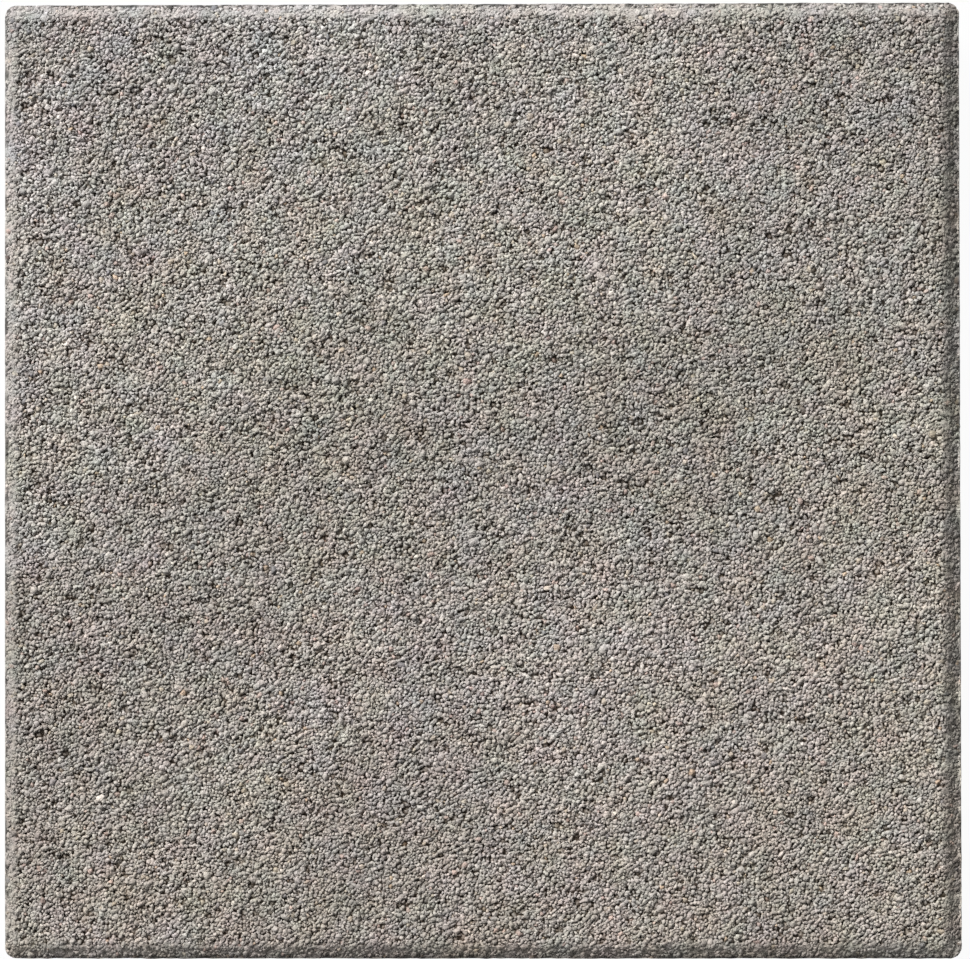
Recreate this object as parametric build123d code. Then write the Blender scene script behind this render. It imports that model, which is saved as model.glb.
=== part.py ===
# Concrete paving slab: one block, pressed face up in a steel mould.
# Millimetres, +Z up, origin at the centre of the underside.
from build123d import *
import math
import os

# Mould box
slab_length = 400.0  # along X
slab_width = 400.0  # along Y
slab_thickness = 40.0  # underside to walking face
corner_radius = 4.8  # upright corners of the block

# Press shoe, which forms the raised field and the slope round it
chamfer_run = 4.4  # width of the slope, seen from above
chamfer_fall = 2.8  # height of the slope
field_corner_radius = 3.0  # corners of the raised field, seen from above
crest_radius = 2.0  # turn from the walking face to the slope
foot_radius = 1.0  # hollow turn from the slope to the land

# Land: the level strip that is left between the shoe and the mould wall.
# The shoe sat a little off centre in the mould, so the four strips differ.
land_left = 0.5  # at -X
land_right = 2.1  # at +X
land_front = 1.5  # at -Y
land_back = 1.1  # at +Y

land_height = slab_thickness - chamfer_fall
mean_land = (land_left + land_right + land_front + land_back) / 4
shoe_corner_radius = corner_radius - mean_land  # keeps the strip even round the corners


# Outline of the shoe, pulled in from its lower rim by an even inset
def shoe_outline(inset, radius, height):
    length = slab_length - land_left - land_right - 2 * inset
    width = slab_width - land_front - land_back - 2 * inset
    centre_x = (land_left - land_right) / 2
    centre_y = (land_front - land_back) / 2
    return Pos(centre_x, centre_y, height) * RectangleRounded(length, width, radius)


# A turn from one face into the next reaches along each of them by its radius
# times the tangent of half the angle, so the strip beside it limits the radius.
def turn_radius(radius, strip):
    slope_angle = math.atan2(chamfer_fall, chamfer_run)
    return min(radius, 0.9 * strip / math.tan(slope_angle / 2))


# Straight-walled body, from the underside to the land
def mould_body():
    plan = RectangleRounded(slab_length, slab_width, corner_radius)
    return extrude(plan, amount=land_height)


# Raised field with its slopes, lofted from the foot line up to the crest line
def raised_field():
    foot_line = shoe_outline(0, shoe_corner_radius, land_height)
    crest_line = shoe_outline(chamfer_run, field_corner_radius, slab_thickness)
    return loft([foot_line, crest_line])


# Round the crest over, then fill the hollow where the slope meets the land
def ease_edges(block):
    walking_face = block.faces().sort_by(Axis.Z)[-1]
    crest_strip = min(chamfer_run / 2, field_corner_radius)
    block = fillet(walking_face.edges(), turn_radius(crest_radius, crest_strip))
    land_face = block.faces().filter_by(GeomType.PLANE).filter_by(Axis.Z).sort_by(Axis.Z)[-2]
    narrowest = min(land_left, land_right, land_front, land_back)
    return fillet(land_face.inner_wires()[0].edges(), turn_radius(foot_radius, narrowest))


slab = ease_edges(mould_body() + raised_field())
slab.label = "paving_slab"

os.makedirs("parts", exist_ok=True)
export_step(slab, "parts/paving_slab.step")
print("paving slab volume:", round(slab.volume / 1000), "cm3")
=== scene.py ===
# Looks of the paving slab: pressed concrete with open grit on its face, on a white studio floor.
import math

import bmesh
import bpy
import numpy as np
from mathutils import Matrix, Vector, noise
from mathutils.bvhtree import BVHTree


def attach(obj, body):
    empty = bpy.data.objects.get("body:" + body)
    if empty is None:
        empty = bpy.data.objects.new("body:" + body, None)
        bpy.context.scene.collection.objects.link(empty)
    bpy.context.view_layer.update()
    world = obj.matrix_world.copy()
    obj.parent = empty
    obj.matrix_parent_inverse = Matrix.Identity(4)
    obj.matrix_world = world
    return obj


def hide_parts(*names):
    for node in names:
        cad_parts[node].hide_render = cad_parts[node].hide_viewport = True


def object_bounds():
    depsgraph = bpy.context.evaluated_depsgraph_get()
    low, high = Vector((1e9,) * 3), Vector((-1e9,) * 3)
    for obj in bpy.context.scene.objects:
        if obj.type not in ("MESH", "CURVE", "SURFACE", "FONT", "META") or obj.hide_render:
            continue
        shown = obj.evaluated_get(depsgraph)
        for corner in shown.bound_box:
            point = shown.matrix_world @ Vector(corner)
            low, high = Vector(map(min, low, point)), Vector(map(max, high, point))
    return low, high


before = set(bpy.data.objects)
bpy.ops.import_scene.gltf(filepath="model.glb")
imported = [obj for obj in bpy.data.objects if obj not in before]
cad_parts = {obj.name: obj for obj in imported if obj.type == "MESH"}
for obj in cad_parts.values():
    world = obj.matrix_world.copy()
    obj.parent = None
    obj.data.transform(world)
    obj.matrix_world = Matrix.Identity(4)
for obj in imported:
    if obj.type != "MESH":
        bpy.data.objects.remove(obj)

cadLow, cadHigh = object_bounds()
mm = 0.001
print("frame loaded, slab box", [round(side, 4) for side in cadHigh - cadLow])


# Shape of the slab, read from its CAD node
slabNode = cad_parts["paving_slab"]
cadPoints = np.array([v.co for v in slabNode.data.vertices])
halfLength, halfWidth, topHeight = cadHigh
facePoints = cadPoints[cadPoints[:, 2] > topHeight - 0.01 * mm]
fieldLow, fieldHigh = facePoints.min(0)[:2], facePoints.max(0)[:2]  # the flat part of the face
wallPoints = cadPoints[cadPoints[:, 0] > halfLength - 0.001 * mm]
cornerRadius = halfWidth - wallPoints[:, 1].max()
landHeight = wallPoints[:, 2].max()
pressTree = BVHTree.FromPolygons([v.co for v in slabNode.data.vertices],
                                 [face.vertices for face in slabNode.data.polygons])


def pressedHeight(x, y):  # height of the press shoe over a point
    hit = pressTree.ray_cast((x, y, 1.0), (0, 0, -1))
    return hit[0].z if hit[0] else landHeight


def wander(spots, period, octaves=3):  # smooth random value at each point, about -1 to 1
    fading, finer = 0.8, 2.0  # from each octave to the next
    return np.array([noise.fractal(Vector(spot) / period, fading, finer, octaves) for spot in spots])


# Crest: the line where the open face ends and the slope starts, worn and ragged
crest = {
    "wornSlope": 0.25,                # fall of the worn strip along the crest
    "wornReach": 0.6 * mm,            # how far it reaches into the field
    "ragged": 1.0 * mm,               # how far the line strays
    "raggedPeriod": 7 * mm,
    "raggedZone": 5 * mm,             # how near the line a point has to be for that to matter
    "setBack": (0.2 * mm, 0.4 * mm),  # how much further in it lies at the left and the far edge
}


def insideField(x, y):  # distance inside the ragged crest line, negative outside
    left, far = crest["setBack"]
    inside = np.minimum(np.minimum(x - fieldLow[0] - left, fieldHigh[0] - x),
                        np.minimum(y - fieldLow[1], fieldHigh[1] - far - y))
    near = np.abs(inside) < crest["raggedZone"]
    spots = np.column_stack((x[near], y[near], np.zeros(near.sum())))
    inside[near] += crest["ragged"] * wander(spots, crest["raggedPeriod"], 2)
    return inside


def pressedHeights(x, y):  # heights of the shoe for arrays, with the crest worn
    heights = np.full(x.shape, float(topHeight))
    sloped = (x < fieldLow[0]) | (x > fieldHigh[0]) | (y < fieldLow[1]) | (y > fieldHigh[1])
    heights[sloped] = [pressedHeight(a, b) for a, b in zip(x[sloped], y[sloped])]
    worn = np.maximum(crest["wornReach"] - insideField(x, y), 0) * crest["wornSlope"]
    return np.minimum(heights, topHeight - worn)


def keptInside(x, y, inset):  # moves points out of the mould wall and its round corners
    straight = np.array((halfLength, halfWidth)) - cornerRadius
    over = np.abs(np.stack((x, y), -1)) - straight
    limit = cornerRadius - inset
    atCorner = (over > 0).all(-1)
    reach = np.hypot(*np.moveaxis(over, -1, 0))
    shrink = np.where(atCorner & (reach > limit), limit / np.maximum(reach, 1e-9), 1.0)
    over = np.where(atCorner[..., None], over * shrink[..., None], np.minimum(over, limit))
    placed = straight + over
    return np.copysign(placed[..., 0], x), np.copysign(placed[..., 1], y)


# Shader nodes written as sums: a Wire is a socket that adds its own Math nodes
class Wire:
    def __init__(self, finish, socket):
        self.finish, self.socket = finish, socket

    def math(self, operation, *others, first=None):
        values = [self, *others] if first is None else [first, self]
        node = self.finish.add("Math", {"operation": operation}, dict(enumerate(values)))
        return Wire(self.finish, node.outputs[0])

    def __add__(self, other):
        return self.math("ADD", other)

    def __radd__(self, other):
        return self.math("ADD", other)

    def __sub__(self, other):
        return self.math("SUBTRACT", other)

    def __rsub__(self, other):
        return self.math("SUBTRACT", first=other)

    def __mul__(self, other):
        return self.math("MULTIPLY", other)

    def __rmul__(self, other):
        return self.math("MULTIPLY", other)


class Finish:  # the node tree of a material or a world
    def __init__(self, owner):
        owner.use_nodes = True
        self.owner, self.tree = owner, owner.node_tree
        self.tree.nodes.clear()

    def add(self, kind, settings=None, values=None):
        node = self.tree.nodes.new("ShaderNode" + kind)
        for key, value in (settings or {}).items():
            setattr(node, key, value)
        for key, value in (values or {}).items():
            if isinstance(value, Wire):
                self.tree.links.new(value.socket, node.inputs[key])
            else:
                node.inputs[key].default_value = value
        return node

    def wire(self, output, kind, settings=None, values=None):
        return Wire(self, self.add(kind, settings, values).outputs[output])

    def noise(self, where, scale, grade):  # centred on 0, about -0.25 to 0.25
        values = {"Vector": where, "Scale": scale, "Detail": grade[0], "Roughness": grade[1]}
        return self.wire(0, "TexNoise", None, values) - 0.5

    def ramp(self, value, low, high, start=0.0, end=1.0):  # smooth step from start to end
        values = {"Value": value, 1: low, 2: high, 3: start, 4: end}
        return self.wire(0, "MapRange", {"interpolation_type": "SMOOTHSTEP"}, values)

    def times(self, colour, factors):  # a colour with each channel multiplied
        channels = self.wire(0, "CombineXYZ", None, dict(enumerate(factors)))
        return self.wire(0, "VectorMath", {"operation": "MULTIPLY"}, {0: colour, 1: channels})


# Concrete: the same mix all over, so one recipe with a few settings for each face
concreteMix = {
    "baseColour": (0.490, 0.453, 0.411, 1.0),  # grey cement with a little buff sand
    "cloudScale": 7.0,             # broad damp and dry clouds, periods in a metre
    "cloudNoise": (4.0, 0.6),      # detail and roughness
    "cloudDepth": 0.75,
    "cloudHue": 0.10,              # how much pinker a dark cloud is
    "patchScale": (70.0, 49.0),    # pinkish and greenish patches, yellowish ones
    "patchNoise": (4.0, 0.65),
    "patchDepth": 0.34,
    "broadScale": 5.0,             # wide clouds of hue
    "broadNoise": (2.0, 0.5),
    "broadHue": (0.08, 0.15),      # how pink and how yellow they get
    "yellowShift": (3, 5, 7),      # keeps the yellow patches off the pink ones
    "speckScale": 1150.0,          # sand in the paste
    "speckNoise": (2.0, 0.6),
    "speckDepth": 1.4,
    "keySideLightDrift": (-0.45, 0.35),   # painted light, lighter towards the key light's side: change in a metre to the right and to the far edge
    "pinkDrift": (0.02, -0.11),
    "yellowDrift": (0.10, -0.13),
    "pitDirtAndShade": (0.46, 0.41, 0.36),    # painted shade with some dirt: what the bottom of a pit keeps of the colour
    "pitShadeFrom": 0.40,              # depth in millimetres at which it starts
    "pitShadeTo": 1.4,
    "fineScale": 1380.0,           # grain of the bump
    "fineNoise": (3.0, 0.6),
    "coarseScale": 460.0,
    "coarseNoise": (2.0, 0.5),
    "coarseShare": 2.0,
    "bumpStrength": 1.0,
    "bumpDistance": 0.6 * mm,
    "roughness": 0.92,
    "speckGloss": 0.3,
    "specular": 0.25,
    "drag": 1.0,                   # scale of the grain upwards, under 1 where the mould dragged it
}


def concreteFinish(name, changes=None):
    mix = {**concreteMix, **(changes or {})}
    finish = Finish(bpy.data.materials.new(name))
    place = finish.wire("Object", "TexCoord")
    grain = finish.wire("Vector", "Mapping", {"vector_type": "POINT"},
                        {"Vector": place, "Scale": (1, 1, mix["drag"])})
    # per-point tint: grain tone, and on the slopes and the land their painted light and shade
    tint = finish.wire("Color", "Attribute", {"attribute_name": "tint"})
    depth = finish.wire("Fac", "Attribute", {"attribute_name": "depth"})

    # Clouds, patches of hue and even drifts over the slab; the drift of lightness is painted light,
    # lighter towards the key light's side
    cloud = finish.noise(place, mix["cloudScale"], mix["cloudNoise"]) * mix["cloudDepth"]
    axes = [finish.wire(axis, "SeparateXYZ", None, {0: place}) for axis in "XY"]
    keySideLightDrift, pinkDrift, yellowDrift = (axes[0] * mix[key][0] + axes[1] * mix[key][1]
                                          for key in ("keySideLightDrift", "pinkDrift", "yellowDrift"))
    pinkScale, yellowScale = mix["patchScale"]
    broadPink, broadYellow = mix["broadHue"]
    pink = finish.noise(place, pinkScale, mix["patchNoise"]) * mix["patchDepth"] + pinkDrift
    wide = finish.noise(place, mix["broadScale"], mix["broadNoise"])
    pink += wide * broadPink - cloud * mix["cloudHue"]
    shifted = finish.wire("Vector", "Mapping", None, {"Vector": place, "Location": mix["yellowShift"]})
    yellow = finish.noise(shifted, yellowScale, mix["patchNoise"]) * mix["patchDepth"]
    yellow += finish.noise(shifted, mix["broadScale"], mix["broadNoise"]) * broadYellow + yellowDrift

    # Sand in the paste, and painted shade with some dirt at the bottom of the pits
    speck = finish.noise(grain, mix["speckScale"], mix["speckNoise"])
    light = (cloud + keySideLightDrift + 1.0) * (speck * mix["speckDepth"] + 1.0)
    pitDirtAndShade = [finish.ramp(depth, mix["pitShadeFrom"], mix["pitShadeTo"], 1.0, kept) for kept in mix["pitDirtAndShade"]]
    tinted = finish.wire(2, "Mix", {"data_type": "RGBA", "blend_type": "MULTIPLY"},
                         {0: 1.0, 6: mix["baseColour"], 7: tint})
    colour = finish.times(tinted, (light * pitDirtAndShade[0] * (pink + 1.0),
                                   light * pitDirtAndShade[1],
                                   light * pitDirtAndShade[2] * (1.0 - yellow)))

    fine = finish.noise(grain, mix["fineScale"], mix["fineNoise"])
    coarse = finish.noise(grain, mix["coarseScale"], mix["coarseNoise"])
    bump = finish.wire("Normal", "Bump", None, {
        "Strength": mix["bumpStrength"],
        "Distance": mix["bumpDistance"],
        "Height": fine + coarse * mix["coarseShare"]})
    shader = finish.add("BsdfPrincipled", None, {
        "Base Color": colour,
        "Roughness": mix["roughness"] - speck * mix["speckGloss"],
        "Specular IOR Level": mix["specular"],
        "Normal": bump})
    finish.add("OutputMaterial", None, {"Surface": Wire(finish, shader.outputs[0])})
    return finish.owner


faceConcrete = concreteFinish("face concrete")
smoothSkin = {"baseColour": (0.345, 0.319, 0.290, 1.0), "speckDepth": 0.25}
sideConcrete = concreteFinish("mould side concrete", {**smoothSkin, "bumpStrength": 0.35, "drag": 0.35})
bedConcrete = concreteFinish("pallet side concrete", {**smoothSkin, "bumpStrength": 0.5})
print("concrete finishes made")


# Block: walls, underside, slopes and the paste that the grit sits in
block = {
    "rimZone": 9 * mm,          # strip along each edge with closer mesh lines
    "rimLines": 16,
    "fieldStep": 3.0 * mm,
    "wallRows": 12,
    "arrisRow": 0.6 * mm,       # height of the topmost row, which the wear rounds
    "fieldRecess": 2.2 * mm,    # how deep the paste lies under the walking face
    "rimRecess": 0.30 * mm,     # and under the slope and the land
    "pasteEdge": (-0.2 * mm, 1.4 * mm),     # between these distances inside the crest it goes deeper
    "lumpPeriod": 4 * mm,
    "pasteLumps": 0.25,         # share of the recess
    "wallRecess": (0.08 * mm, 0.28 * mm),   # of the left and right walls, and of the near and far ones
    "cornerWear": 0.25 * mm,
    "wallLumps": 0.8,           # share of the wall's recess and its wear
    "dentPeriod": 11 * mm,
    "dentDepth": 0.14 * mm,
    "arrisWear": 0.12 * mm,
    "wearPeriods": (6 * mm, 30 * mm),
    "wearShares": (0.6, 1.5, 0.25),  # even wear, that in worn stretches, and the noise where one starts
    "skinTonesAndShade": (0.82, 0.56, 0.73, 0.93),  # tone of the slope at the left, right, near and far edge, with painted light on the sides towards the key light and painted shade on those away from it
    "skinEdge": (-0.2 * mm, 1.7 * mm),      # between these distances inside the crest the skin ends
    "landLightAndShade": (0.97, 1.20, 0.97, 0.82),  # land at the same edges, with painted light on the right one and painted shade on the far one
    "landRise": 0.3 * mm,       # how far up the slope the land's tone reaches
    "landShadeSpots": (-0.09, 0.11, 0.24),  # noise where painted shade spots, for pits in the crumbled arris, start and are full, and their tone
    "spotPeriods": (1.3 * mm, 9 * mm),
    "spotClusters": 0.6,        # weight of the longer period
    "spotRise": 0.8 * mm,       # how far up the slope the spots reach
    "frontShadow": 0.48,          # painted shadow on the near edge's land
    "frontEdge": (1.2 * mm, 1.9 * mm),      # between these distances from that edge it ends
    "bedHollow": 0.25 * mm,
    "sharpAngle": 50.0,         # degrees
    "mapMargin": 0.005,
}


def meshLines(half):  # places of the mesh lines across the block, closer near its edges
    rim = np.linspace(0, block["rimZone"], block["rimLines"] + 1)
    middle = 2 * (half - block["rimZone"])
    steps = round(middle / block["fieldStep"])
    inner = np.linspace(0, middle, steps + 1)[1:-1] + block["rimZone"]
    return np.concatenate((rim, inner, 2 * half - rim[::-1])) - half


def recessUnder(x, y):  # depth of the paste under the press shoe
    return np.interp(insideField(x, y), block["pasteEdge"], (block["rimRecess"], block["fieldRecess"]))


def nearestSide(x, y):  # 0 left, 1 right, 2 near, 3 far
    return np.argmin((x - fieldLow[0], fieldHigh[0] - x, y - fieldLow[1], fieldHigh[1] - y), 0)


def skinToneAndShade(x, y):  # tone of the pressed skin, which the open field has lost, with painted light and shade that differ from side to side
    skin = np.array(block["skinTonesAndShade"])[nearestSide(x, y)]
    return skin + (1 - skin) * np.interp(insideField(x, y), block["skinEdge"], (0, 1))


def rimTone(places, shoe):  # tone of the slope and the land, with painted light and shade on each side, and painted shade spots where the arris crumbled
    spotFrom, spotFull, spotTone = block["landShadeSpots"]
    small, wide = block["spotPeriods"]
    rise = shoe - landHeight
    x, y = places[:, 0], places[:, 1]
    land = np.array(block["landLightAndShade"])[nearestSide(x, y)]
    tone = np.where(rise < block["landRise"], land, skinToneAndShade(x, y))
    spots = wander(places, small, 2) + block["spotClusters"] * wander(places, wide, 2)
    dark = np.interp(spots, (spotFrom, spotFull), (1.0, spotTone))
    # painted shadow along the near edge's land
    dark *= np.interp(y + halfWidth, block["frontEdge"], (block["frontShadow"], 1.0))
    return tone * np.where(rise < block["spotRise"], dark, 1.0)


def buildBlock():
    mesh = bmesh.new()
    bmesh.ops.create_cube(mesh, size=1.0)
    rows = np.linspace(0, landHeight - block["arrisRow"], block["wallRows"])
    lines = (meshLines(halfLength), meshLines(halfWidth), np.append(rows, landHeight))
    for axis, places in enumerate(lines):
        across = [e for e in mesh.edges if abs(e.verts[0].co[axis] - e.verts[1].co[axis]) > 0.5]
        bmesh.ops.subdivide_edges(mesh, edges=across, cuts=len(places) - 2, use_grid_fill=True)
    unit = np.array([v.co for v in mesh.verts])
    counted = [(unit[:, axis] + 0.5) * (len(places) - 1) for axis, places in enumerate(lines)]
    spread = np.stack([np.interp(number, np.arange(len(places)), places)
                       for number, places in zip(counted, lines)], 1)
    atTop, atBed = unit[:, 2] > 0.499, unit[:, 2] < -0.499
    atWall = (np.abs(unit[:, :2]) > 0.499).any(1)

    # Own map for the bake: the face and the bed side by side, and the four walls as strips
    layer = mesh.loops.layers.uv.new("OFBake")
    spanX, spanY = 2 * halfLength, 2 * halfWidth
    margin = block["mapMargin"]
    halfMap, fullMap = 0.5 - 2 * margin, 1 - 2 * margin
    strip = landHeight / spanX + 4 * margin
    for face in mesh.faces:
        normal = face.normal
        side = max(range(3), key=lambda axis: abs(normal[axis]))
        low = normal[side] < 0
        for loop in face.loops:
            x, y, z = spread[loop.vert.index]
            across, along = x / spanX + 0.5, y / spanY + 0.5
            if side == 2:
                loop[layer].uv = (margin + halfMap * across + 0.5 * low, 0.5 + margin + halfMap * along)
            else:
                row = 2 * side + low
                loop[layer].uv = (margin + fullMap * (along if side == 0 else across),
                                  4 * margin + row * strip + z / spanX)
        face.material_index = (1, 1, 2 if low else 0)[side]
        face.smooth = True

    # Round corners: each square ring of points round a corner's centre becomes an arc
    straight = np.array((halfLength, halfWidth)) - cornerRadius
    over = np.abs(spread[:, :2]) - straight
    corner = (over > 0).all(1)
    over[corner] *= (over[corner].max(1) / np.hypot(*over[corner].T))[:, None]
    spread[:, :2] = np.copysign(straight + over, spread[:, :2])
    outward = np.where(corner[:, None], over, over >= over.max(1, keepdims=True))
    outward = np.copysign(outward, spread[:, :2])
    outward /= np.linalg.norm(outward, axis=1, keepdims=True)

    # Paste under the shoe, then the unevenness of each side
    pressed = pressedHeights(spread[:, 0], spread[:, 1])
    lumps = wander(spread, block["lumpPeriod"])
    dents = np.maximum(wander(spread, block["dentPeriod"]), 0)
    sunk = recessUnder(spread[:, 0], spread[:, 1]) * (1 + block["pasteLumps"] * lumps)
    depth = np.where(atTop, sunk, 0.0)
    spread[atTop, 2] = (pressed - depth)[atTop]
    evenWear, stretchWear, stretchFrom = block["wearShares"]
    short, long = (wander(spread, period) for period in block["wearPeriods"])
    wear = block["arrisWear"] * (evenWear + short + stretchWear * np.maximum(long - stretchFrom, 0))
    wear = np.maximum(wear, 0)
    recess = np.abs(outward) @ block["wallRecess"] + block["cornerWear"] * 2 * np.abs(outward.prod(1))
    uneven = recess * (1 + block["wallLumps"] * lumps) + block["dentDepth"] * dents
    inward = np.where(atWall, uneven, 0.0) + np.where(atWall & atTop, wear, 0)
    spread[:, :2] -= outward * inward[:, None]
    spread[atWall & atTop, 2] -= wear[atWall & atTop]
    hollow = block["bedHollow"] * np.maximum(lumps + dents, 0)
    spread[atBed, 2] += hollow[atBed]
    depth = np.where(atWall, inward, depth) + np.where(atBed, hollow, 0)

    # Tone of the paste, which differs on slope and land, with its painted light and shade
    tone = np.where(atTop, rimTone(spread, pressed), 1.0)

    for vertex, place in zip(mesh.verts, spread):
        vertex.co = place
    slab = bpy.data.meshes.new("slab_body")
    mesh.to_mesh(slab)
    mesh.free()
    slab.attributes.new("tint", "FLOAT_COLOR", "POINT").data.foreach_set("color", np.repeat(tone, 4))
    slab.attributes.new("depth", "FLOAT", "POINT").data.foreach_set("value", depth / mm)
    slab.set_sharp_from_angle(angle=math.radians(block["sharpAngle"]))
    for concrete in (faceConcrete, sideConcrete, bedConcrete):
        slab.materials.append(concrete)
    body = bpy.data.objects.new("slab_body", slab)
    bpy.context.scene.collection.objects.link(body)
    return body


slabBody = buildBlock()
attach(slabBody, "root")
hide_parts("paving_slab")
print("block made,", 2 * len(slabBody.data.polygons), "triangles")


# Grit: closed pebbles of 8 to 18 faces, thrown largest first and pressed under the shoe
grit = {
    "seed": 11,
    "middleRadius": 0.85 * mm,
    "spreadOfRadii": 0.35,       # of their logarithm
    "smallest": 0.45 * mm,
    "largest": 2.3 * mm,
    "count": 92000,
    "closeness": 0.57,           # share of two radii that two centres keep apart
    "tries": 20,
    "flatness": 1.40,            # height of a grain against its width
    "stretch": 0.14,
    "lumpiness": 0.20,
    "tumble": 0.35,              # radians
    "pressing": (0.20, 0.90),    # share of the radius that the shoe flattened
    "pressPatches": 1.0,         # how much more it did so in some patches than in others
    "pressPeriod": 11 * mm,
    "sharpAngle": 110.0,         # degrees, an edge sharper than this stays crisp in the shading
    "levelSpread": 0.17 * mm,    # how unevenly the crowns stand
    "clusterDrop": 0.50 * mm,
    "clusterPeriod": 7 * mm,
    "lostShare": 0.10,           # grains that left a pit
    "lostDrop": 0.6 * mm,
    "wallSkin": 0.40 * mm,       # paste between a grain and the mould wall
    "paleness": 0.10,            # how unlike in tone two grains are
    "hue": 0.005,
    "tintLimits": (0.2, 1.8),
    "stone": 0.96,                 # radius against the spacing
    "chip": (4, 1.08, 0.97, 1.7),  # sides, radius at the foot and at the crown, height
    "crumb": (3, 1.16, 1.07, 1.5),
    "sieves": (                  # from the coarsest: name, how many grains at most, shape
        ("coarse", 4000, "stone"),
        ("medium", 15000, "chip"),
        ("small", 24800, "crumb"),
        ("fine", 24800, "crumb"),
        ("dust", 13000, "crumb"),
    ),
    "oddGrains": (               # tint and share: ochre, slate, pale, pink and buff
        ((1.15, 0.98, 0.80), 0.002),
        ((0.60, 0.61, 0.65), 0.006),
        ((1.25, 1.24, 1.22), 0.012),
        ((1.08, 0.93, 0.90), 0.010),
        ((1.10, 1.04, 0.94), 0.012),
    ),
    "mapUpper": (0.34, 0.30),    # middle and half width of the upper faces in a grain's cell of the map
    "mapLower": (0.83, 0.14),    # and of the lower ones
    "mapHeight": 0.44,           # half height of both
}


def grainShape(kind):  # corners and faces of one grain of radius 1, flat at its bottom
    mesh = bmesh.new()
    if kind == "stone":
        bmesh.ops.create_icosphere(mesh, subdivisions=1, radius=grit["stone"])
        lowest = min(mesh.verts, key=lambda vertex: vertex.co.z)
        bmesh.ops.dissolve_verts(mesh, verts=[lowest])
    else:
        sides, low, high, deep = grit[kind]
        bmesh.ops.create_cone(mesh, cap_ends=True, segments=sides,
                              radius1=low, radius2=high, depth=deep)
        crown = [vertex for vertex in mesh.verts if vertex.co.z > 0]
        halfSide = Matrix.Rotation(math.pi / sides, 3, "Z")
        bmesh.ops.rotate(mesh, verts=crown, cent=(0, 0, 0), matrix=halfSide)
    bmesh.ops.triangulate(mesh, faces=mesh.faces)
    bmesh.ops.recalc_face_normals(mesh, faces=mesh.faces)
    corners = np.array([v.co for v in mesh.verts])
    faces = np.array([[v.index for v in face.verts] for face in mesh.faces])
    mesh.free()
    return corners, faces


def throwGrains(low, high, radii, dice):  # centres and radii that keep apart
    cell = 2 * grit["closeness"] * max(radii)
    buckets, placed = {}, []
    throws = (low + dice.random((len(radii), grit["tries"], 2)) * (np.array(high) - low)).tolist()
    for radius, spots in zip(radii, throws):
        for x, y in spots:
            column, row = int(x // cell), int(y // cell)
            near = [grain for i in (-1, 0, 1) for j in (-1, 0, 1)
                    for grain in buckets.get((column + i, row + j), ())]
            if all((x - a) ** 2 + (y - b) ** 2 > (grit["closeness"] * (radius + other)) ** 2
                   for a, b, other in near):
                buckets.setdefault((column, row), []).append((x, y, radius))
                placed.append((x, y, radius))
                break
    return np.array(placed)


def gradedRadii(count, dice, largest):  # grit sizes, largest first
    radii = dice.lognormal(math.log(grit["middleRadius"]), grit["spreadOfRadii"], count)
    return np.sort(np.clip(radii, grit["smallest"], largest))[::-1]


def turns(angles, axis):  # one rotation matrix for each angle
    matrices = np.zeros((len(angles), 3, 3))
    first, second = (axis + 1) % 3, (axis + 2) % 3
    matrices[:, axis, axis] = 1
    matrices[:, first, first] = matrices[:, second, second] = np.cos(angles)
    matrices[:, second, first] = np.sin(angles)
    matrices[:, first, second] = -np.sin(angles)
    return matrices


def shapeGrains(corners, radii, dice, tumble):  # each grain's corners round its own centre
    count = len(radii)
    lumps = 1 + grit["lumpiness"] * dice.normal(size=(count, len(corners), 1))
    tumbled = (turns(dice.uniform(-tumble, tumble, count), 0)
               @ turns(dice.uniform(0, 2 * math.pi, count), 2))
    stretch = np.exp(dice.normal(0, grit["stretch"], count))
    sizes = radii[:, None] * np.stack((stretch, 1 / stretch, np.full(count, grit["flatness"])), 1)
    heading = turns(dice.uniform(0, 2 * math.pi, count), 2)
    local = np.einsum("nij,nvj->nvi", tumbled, corners[None] * lumps) * sizes[:, None]
    return np.einsum("nij,nvj->nvi", heading, local)


def grainTints(count, dice):
    tone = 1 + grit["paleness"] * dice.normal(size=(count, 1))
    tints = tone * (1 + grit["hue"] * dice.normal(size=(count, 3)))
    drawn, edge = dice.random(count), 0.0
    for colour, share in grit["oddGrains"]:
        tints[(drawn >= edge) & (drawn < edge + share)] *= colour
        edge += share
    return np.clip(tints, *grit["tintLimits"])


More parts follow.
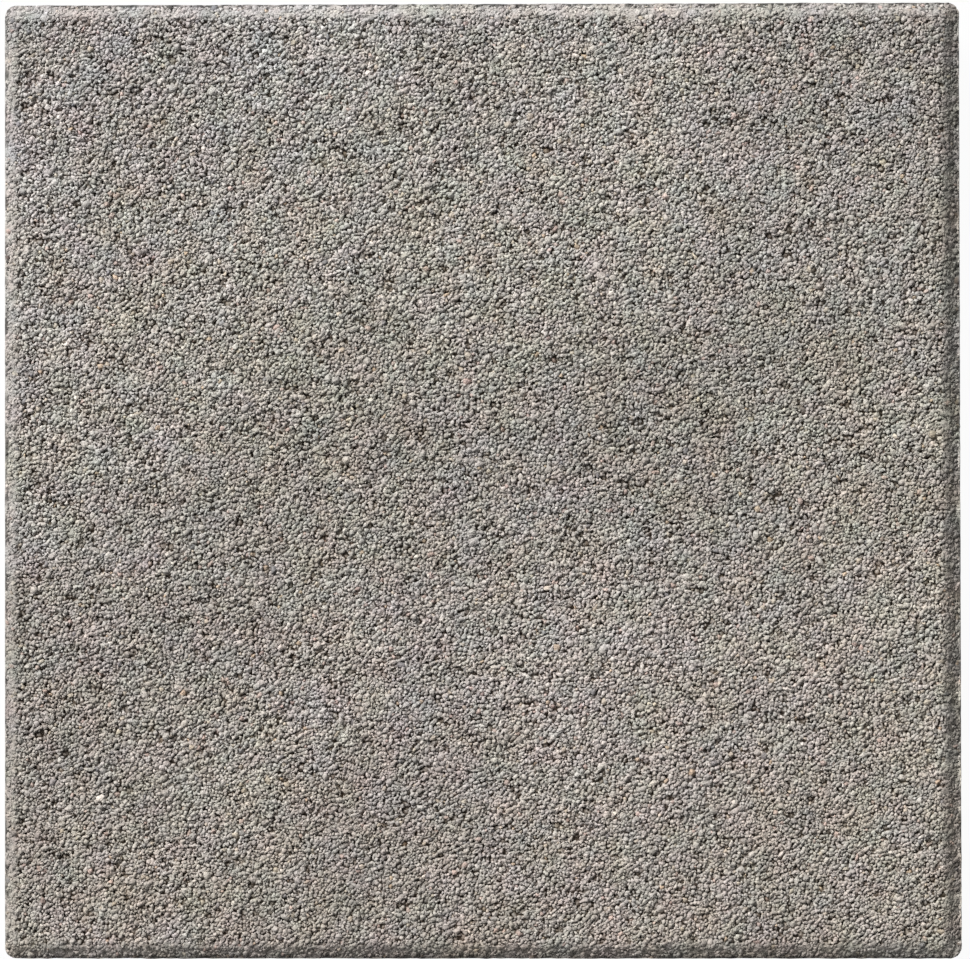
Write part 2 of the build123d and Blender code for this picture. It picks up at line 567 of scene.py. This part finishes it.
def gritPiece(name, grains, faces, corners, depths, tints, concrete):  # joins the grains into one piece
    count, each = grains.shape[:2]
    mesh = bpy.data.meshes.new(name)
    mesh.vertices.add(count * each)
    mesh.vertices.foreach_set("co", grains.ravel())
    joined = faces[None] + each * np.arange(count)[:, None, None]
    mesh.loops.add(joined.size)
    mesh.loops.foreach_set("vertex_index", joined.ravel())
    mesh.polygons.add(joined.size // 3)
    mesh.polygons.foreach_set("loop_start", np.arange(0, joined.size, 3))
    mesh.update(calc_edges=True)
    mesh.shade_smooth()
    mesh.set_sharp_from_angle(angle=math.radians(grit["sharpAngle"]))
    colours = np.repeat(np.hstack((tints, np.ones((count, 1)))), each, 0)
    mesh.attributes.new("tint", "FLOAT_COLOR", "POINT").data.foreach_set("color", colours.ravel())
    mesh.attributes.new("depth", "FLOAT", "POINT").data.foreach_set("value", depths.ravel() / mm)

    # Own map for the bake: a cell for each grain, its upper faces left and its lower ones right
    flat = (corners[:, :2] / np.hypot(corners[:, 0], corners[:, 1]).max())[faces]
    lower = corners[faces][:, :, 2].mean(1, keepdims=True) < 0
    middle, halfSpan = (np.where(lower, below, above)
                        for below, above in zip(grit["mapLower"], grit["mapUpper"]))
    unit = np.stack((middle + halfSpan * flat[:, :, 0], 0.5 + grit["mapHeight"] * flat[:, :, 1]), -1)
    rows = math.ceil(math.sqrt(count))
    cells = np.stack(np.divmod(np.arange(count), rows), 1)
    layer = mesh.uv_layers.new(name="OFBake")
    layer.uv.foreach_set("vector", ((unit[None] + cells[:, None, None]) / rows).ravel())

    mesh.materials.append(concrete)
    piece = bpy.data.objects.new(name, mesh)
    bpy.context.scene.collection.objects.link(piece)
    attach(piece, "root")
    print(name, "made,", count, "grains,", len(mesh.polygons), "triangles")
    return piece


shapes = {kind: grainShape(kind) for kind in ("stone", "chip", "crumb")}

# Grit of the field goes on over the slope, flatter there, and ends a little inside the walls
slope = {
    "relief": (0.60, 1.0),                # how uneven the crowns are on the slope, and on the field
    "flush": (2.2, 1.0),                  # how much more the grains were pressed there
    "reliefFrom": (-0.5 * mm, 1.4 * mm),  # between these distances inside the crest
    "inset": 1.6 * mm,                    # from the walls
}
gritEdge = np.array((halfLength, halfWidth)) - slope["inset"]


def fieldGrit():
    dice = np.random.default_rng(grit["seed"])
    spots = throwGrains(-gritEdge, gritEdge, gradedRadii(grit["count"], dice, grit["largest"]), dice)
    print("field grit thrown,", len(spots), "grains")
    for sieve, most, kind in grit["sieves"]:
        spot, spots = spots[:most], spots[most:]
        corners, faces = shapes[kind]
        grains = shapeGrains(corners, spot[:, 2], dice, grit["tumble"])
        centres = np.column_stack((spot[:, :2], np.zeros(len(spot))))
        cluster = np.maximum(wander(centres, grit["clusterPeriod"], 2), 0)
        lost = (dice.random(len(spot)) < grit["lostShare"]) * grit["lostDrop"]
        uneven = np.abs(dice.normal(0, grit["levelSpread"], len(spot)))
        drop = uneven + grit["clusterDrop"] * cluster + lost
        shoe = pressedHeights(spot[:, 0], spot[:, 1])
        inside = insideField(spot[:, 0], spot[:, 1])
        drop *= np.interp(inside, slope["reliefFrom"], slope["relief"])
        pressing = dice.uniform(*grit["pressing"], len(spot))
        pressing *= np.interp(inside, slope["reliefFrom"], slope["flush"])
        pressing *= np.maximum(1 + grit["pressPatches"] * wander(centres, grit["pressPeriod"], 2), 0)
        lift = pressing * spot[:, 2]
        grains[..., :2] += spot[:, None, :2]
        grains[..., 2] += (shoe - drop + lift - grains[..., 2].max(1))[:, None]
        grains[..., 0], grains[..., 1] = keptInside(grains[..., 0], grains[..., 1], grit["wallSkin"])
        ceiling = pressedHeights(grains[..., 0], grains[..., 1])
        grains[..., 2] = np.minimum(grains[..., 2], ceiling - drop[:, None])
        # the grains on the slopes take the slopes' painted light and shade too
        tints = grainTints(len(spot), dice) * skinToneAndShade(spot[:, 0], spot[:, 1])[:, None]
        depths = ceiling - grains[..., 2]
        gritPiece("grit_" + sieve, grains, faces, corners, depths, tints, faceConcrete)


fieldGrit()


# Rim: grains pressed flush in the land and the foot of the slope
rim = {
    "seed": 23,
    "count": 3600,
    "largest": 1.5 * mm,
    "landRise": 0.12 * mm,       # up to this height a grain counts as on the land
    "drops": (0.14 * mm, 0.20 * mm),  # how unevenly they stand on the slope and on the land
    "lifts": (0.5, 0.1),         # share of the radius, before pressing
    "tumble": 0.5,               # radians
    "skin": 0.14 * mm,           # paste film over a flush grain
    "wallSkin": 0.45 * mm,       # and between it and the mould wall
}


def rimGrit():
    dice = np.random.default_rng(rim["seed"])
    low, high = np.array((-halfLength, -halfWidth)), np.array((halfLength, halfWidth))
    edgeX, edgeY = gritEdge
    strips = ((low, (high[0], -edgeY)),
              ((low[0], edgeY), high),
              ((low[0], -edgeY), (-edgeX, edgeY)),
              ((edgeX, -edgeY), (high[0], edgeY)))
    areas = [float(np.prod(np.array(b) - a)) for a, b in strips]
    thrown = []
    for (a, b), area in zip(strips, areas):
        radii = gradedRadii(round(rim["count"] * area / sum(areas)), dice, rim["largest"])
        thrown.append(throwGrains(np.array(a), b, radii, dice))
    spots = np.concatenate(thrown)
    x, y = keptInside(spots[:, 0], spots[:, 1], rim["wallSkin"])
    shoe = pressedHeights(x, y)
    onLand = (shoe < landHeight + rim["landRise"]).astype(int)
    corners, faces = shapes["chip"]
    grains = shapeGrains(corners, spots[:, 2], dice, rim["tumble"])
    drop = np.abs(dice.normal(0, 1, len(spots))) * np.array(rim["drops"])[onLand]
    lift = np.array(rim["lifts"])[onLand] * spots[:, 2]
    grains[..., 0] += x[:, None]
    grains[..., 1] += y[:, None]
    grains[..., 2] += (shoe - drop + lift - grains[..., 2].max(1))[:, None]
    grains[..., 0], grains[..., 1] = keptInside(grains[..., 0], grains[..., 1], rim["wallSkin"])
    ceiling = pressedHeights(grains[..., 0], grains[..., 1]) - rim["skin"] - drop[:, None]
    grains[..., 2] = np.minimum(grains[..., 2], ceiling)
    places = np.column_stack((x, y, shoe))
    # the rim grains take the land's and slope's painted light, shade and shadow
    tints = grainTints(len(spots), dice) * rimTone(places, shoe)[:, None]
    depths = ceiling + drop[:, None] - grains[..., 2]
    gritPiece("grit_rim", grains, faces, corners, depths, tints, faceConcrete)


rimGrit()


# Sides: grains that lay flush against the mould wall
side = {
    "seed": 37,
    "count": 5000,
    "largest": 2.0 * mm,
    "margin": 0.4 * mm,          # from the arris and from the bed
    "drop": 0.05 * mm,           # how unevenly they stand
    "lift": 0.45,                # share of the radius, before pressing
    "tumble": 0.5,               # radians
    "skin": 0.03 * mm,           # paste film over a flush grain
}


def wallPlace(distance):  # point and outward direction, counterclockwise from the right wall's near end
    sides = (halfWidth - cornerRadius, halfLength - cornerRadius) * 2
    arc = math.pi / 2 * cornerRadius
    for turn, half in enumerate(sides):
        facing = turn * math.pi / 2
        outward = np.array((math.cos(facing), math.sin(facing)))
        along = np.array((-outward[1], outward[0]))
        reach = sides[(turn + 1) % 4]
        if distance <= 2 * half:
            return outward * (reach + cornerRadius) + along * (distance - half), outward
        distance -= 2 * half
        if distance <= arc:
            bend = facing + distance / cornerRadius
            radial = np.array((math.cos(bend), math.sin(bend)))
            return outward * reach + along * half + radial * cornerRadius, radial
        distance -= arc
    return wallPlace(0.0)


def sideGrit():
    dice = np.random.default_rng(side["seed"])
    around = 4 * (halfWidth + halfLength - 2 * cornerRadius) + 2 * math.pi * cornerRadius
    radii = gradedRadii(side["count"], dice, side["largest"])
    low, high = (0.0, side["margin"]), (around, landHeight - side["margin"])
    spots = throwGrains(np.array(low), high, radii, dice)
    places, outwards = map(np.array, zip(*[wallPlace(s) for s in spots[:, 0]]))
    alongs = np.stack((-outwards[:, 1], outwards[:, 0]), 1)
    corners, faces = shapes["chip"]
    grains = shapeGrains(corners, spots[:, 2], dice, side["tumble"])
    drop = np.abs(dice.normal(0, side["drop"], len(spots))) + side["skin"]
    out = grains[..., 2] + (side["lift"] * spots[:, 2] - drop - grains[..., 2].max(1))[:, None]
    out = np.minimum(out, -drop[:, None]) - (np.abs(outwards) @ block["wallRecess"])[:, None]
    flat = places[:, None] + alongs[:, None] * grains[..., :1] + outwards[:, None] * out[..., None]
    x, y = keptInside(flat[..., 0], flat[..., 1], side["skin"])
    z = np.clip(spots[:, 1, None] + grains[..., 1], side["skin"], landHeight - side["skin"])
    tints = grainTints(len(spots), dice)
    gritPiece("grit_sides", np.stack((x, y, z), -1), faces, corners, -out, tints, sideConcrete)


sideGrit()


# Camera over the slab, a hair off straight down as the photo's outline shows
camera = {
    "lens": 100.0,
    "place": (0.01135, -0.00945, 1.1641),
    "turn": (0.501, 0.512, -0.088),  # degrees
}
eye = bpy.data.objects.new("camera", bpy.data.cameras.new("camera"))
eye.data.lens = camera["lens"]
eye.location = camera["place"]
eye.rotation_euler = [math.radians(angle) for angle in camera["turn"]]
bpy.context.scene.collection.objects.link(eye)
bpy.context.scene.camera = eye


# Light: a low soft key from the upper left over an even fill, 1 together on a level white face
studio = {
    "keyShare": 0.90,
    "keyOnWhite": 0.534,     # share of this key that a level face catches
    "keyHeight": 33.0,       # degrees above the floor
    "keyHeading": 129.0,     # degrees from +X to where it comes from
    "keySoftness": 32.0,     # degrees across, like a window close by
    "floorWhite": 0.80,
    "shownWhite": 0.96,      # how much of the floor's own white the camera sees
    "floorSize": 12.0,
    "floorDrop": 0.1 * mm,   # keeps it clear of the underside
}
key = bpy.data.objects.new("key light", bpy.data.lights.new("key light", "SUN"))
key.data.energy = studio["keyShare"] * math.pi / studio["keyOnWhite"]
key.data.angle = math.radians(studio["keySoftness"])
rise, heading = math.radians(studio["keyHeight"]), math.radians(studio["keyHeading"])
level = math.cos(rise)
towards = Vector((level * math.cos(heading), level * math.sin(heading), math.sin(rise)))
key.rotation_euler = towards.to_track_quat("Z", "Y").to_euler()
bpy.context.scene.collection.objects.link(key)


def seenDirectly(finish):  # 1 for camera, glossy and transmission rays
    path = finish.add("LightPath")
    kinds = ("Is Camera Ray", "Is Glossy Ray", "Is Transmission Ray")
    rays = [Wire(finish, path.outputs[kind]) for kind in kinds]
    return rays[0].math("MAXIMUM", rays[1].math("MAXIMUM", rays[2]))


sky = Finish(bpy.data.worlds.new("studio"))
shown = seenDirectly(sky)
fill = 1 - studio["keyShare"]
background = sky.add("Background", None, {"Color": (1, 1, 1, 1), "Strength": shown * (1 - fill) + fill})
sky.add("OutputWorld", None, {"Surface": Wire(sky, background.outputs[0])})
bpy.context.scene.world = sky.owner

floorMesh = bmesh.new()
bmesh.ops.create_grid(floorMesh, x_segments=4, y_segments=4, size=studio["floorSize"] / 2)
bmesh.ops.translate(floorMesh, verts=floorMesh.verts, vec=(0, 0, -studio["floorDrop"]))
floor = bpy.data.objects.new("floor", bpy.data.meshes.new("floor"))
floorMesh.to_mesh(floor.data)
floorMesh.free()
bpy.context.scene.collection.objects.link(floor)
paper = Finish(bpy.data.materials.new("white floor"))
white = (studio["floorWhite"],) * 3 + (1,)
matt = paper.add("BsdfDiffuse", None, {"Color": white})
glow = paper.add("Emission", None, {"Color": (1, 1, 1, 1), "Strength": 1.0})
mixed = paper.add("MixShader", None, {0: seenDirectly(paper) * studio["shownWhite"],
                                      1: Wire(paper, matt.outputs[0]), 2: Wire(paper, glow.outputs[0])})
paper.add("OutputMaterial", None, {"Surface": Wire(paper, mixed.outputs[0])})
floor.data.materials.append(paper.owner)
bpy.context.scene.view_settings.view_transform = "Standard"
print("camera, light and floor made")
